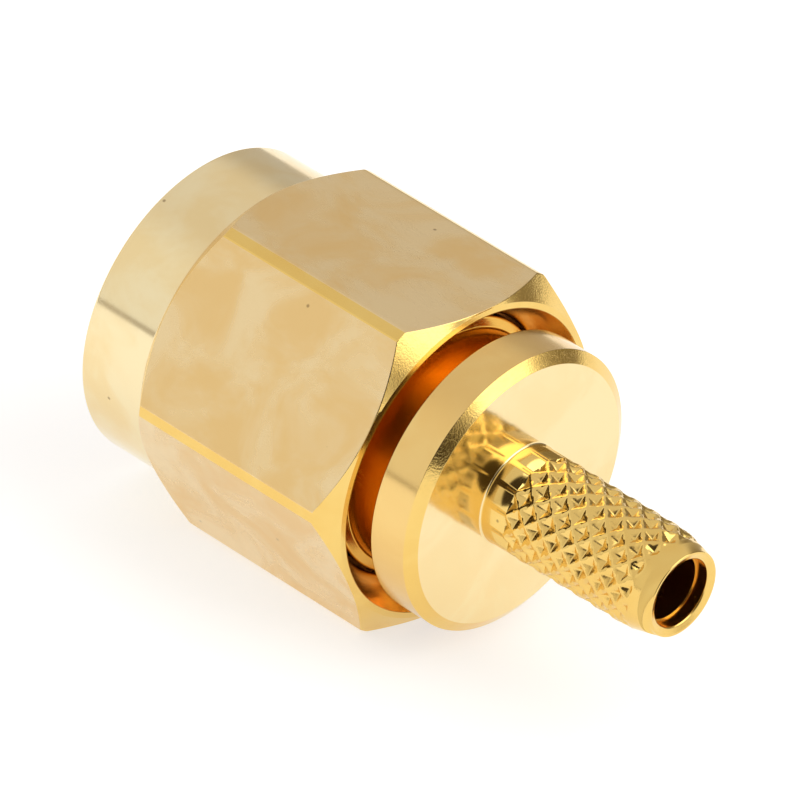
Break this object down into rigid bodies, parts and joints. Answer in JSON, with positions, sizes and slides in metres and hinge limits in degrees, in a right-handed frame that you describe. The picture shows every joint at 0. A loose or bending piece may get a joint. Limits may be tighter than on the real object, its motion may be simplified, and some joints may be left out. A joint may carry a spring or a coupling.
{
  "type": "coaxial rf crimp plug",
  "caption": "Gold-plated miniature coaxial crimp plug: hexagonal coupling nut with collar turning on a flanged body, centre pin, and a hollow knurled crimp stem.",
  "frame": {"origin": "on the axis at the mating plane, where the outer contact sleeve ends", "axes": "+X along the axis towards the cable end, -X towards the mating half, +Z square to the top flat of the hexagon, so the plug lies on its -Z flat"},
  "size_m": [0.0151, 0.009, 0.008],
  "materials": {
    "nut_gold": "gold plated, satin",
    "body_gold": "gold plated, polished",
    "contact_gold": "gold plated, polished",
    "ring_copper": "polished",
    "seal_rubber": "matte",
    "insulator_white": "matte"
  },
  "bodies": {
    "plug": {"plug_body": "body_gold", "front_insulator": "insulator_white", "rear_insulator": "insulator_white", "centre_contact": "contact_gold", "gasket": "seal_rubber"},
    "ring": {"retaining_ring": "ring_copper"},
    "nut": {"coupling_nut": "nut_gold"}
  },
  "joints": [
    {"name": "nut_play", "type": "slide", "parent": "plug", "child": "ring", "axis": [1, 0, 0], "range_m": [-0.00012, 0.00013]},
    {"name": "nut_spin", "type": "hinge", "parent": "ring", "child": "nut", "pos_m": [0.00355, 0, 0], "axis": [1, 0, 0], "continuous": true}
  ]
}
